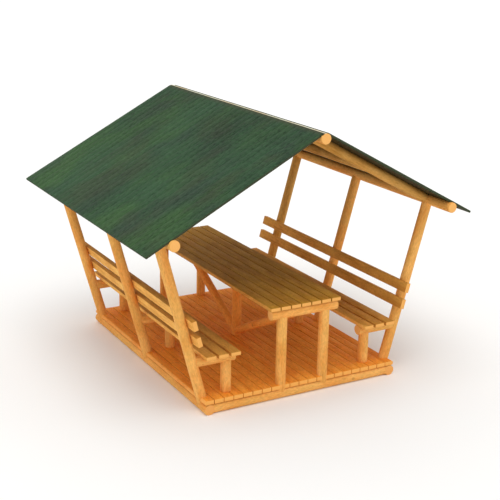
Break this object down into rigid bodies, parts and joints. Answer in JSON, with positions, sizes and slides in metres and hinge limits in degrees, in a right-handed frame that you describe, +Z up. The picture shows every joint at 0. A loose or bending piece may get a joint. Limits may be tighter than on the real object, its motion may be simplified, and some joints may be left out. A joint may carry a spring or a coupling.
{
  "type": "picnic pergola",
  "caption": "Open log pergola on a board deck, with a green gable roof, a long table and a bench with a backrest along each side.",
  "frame": {"origin": "middle of the footprint, on the ground", "axes": "+X to the right across the pergola, +Y along the ridge from the front gable to the back gable, +Z up"},
  "size_m": [3.4196, 3.16, 2.5469],
  "materials": {
    "logs": "peeled round logs under a clear honey varnish",
    "boards": "planed boards under a clear honey varnish",
    "deck": "planed deck boards under an orange varnish",
    "roof": "close-laid roof boards stained dark green"
  },
  "bodies": {
    "root": {"skid_left": "logs", "skid_right": "logs", "cross_log_front": "logs", "cross_log_middle": "logs", "cross_log_back": "logs", "deck_boards": "deck", "edge_board_left": "logs", "edge_board_right": "logs", "table_boards": "boards", "table_bearer_front": "logs", "table_bearer_back": "logs", "table_leg_front_left": "logs", "table_leg_front_right": "logs", "table_leg_back_left": "logs", "table_leg_back_right": "logs", "king_post": "logs", "brace_front": "logs", "brace_back": "logs", "post_left_front": "logs", "post_left_middle": "logs", "post_left_back": "logs", "post_right_front": "logs", "post_right_middle": "logs", "post_right_back": "logs", "seat_boards_left": "boards", "seat_boards_right": "boards", "bench_bearers_left": "logs", "bench_bearers_right": "logs", "bench_legs_left": "logs", "bench_legs_right": "logs", "back_board_left_lower": "boards", "back_board_left_upper": "boards", "back_board_right_lower": "boards", "back_board_right_upper": "boards", "ridge_pole": "logs", "eave_purlin_left": "logs", "eave_purlin_right": "logs", "mid_purlin_left": "logs", "mid_purlin_right": "logs", "rafter_left_front": "logs", "rafter_left_back": "logs", "rafter_right_front": "logs", "rafter_right_back": "logs", "roof_left": "roof", "roof_right": "roof"}
  },
  "joints": []
}
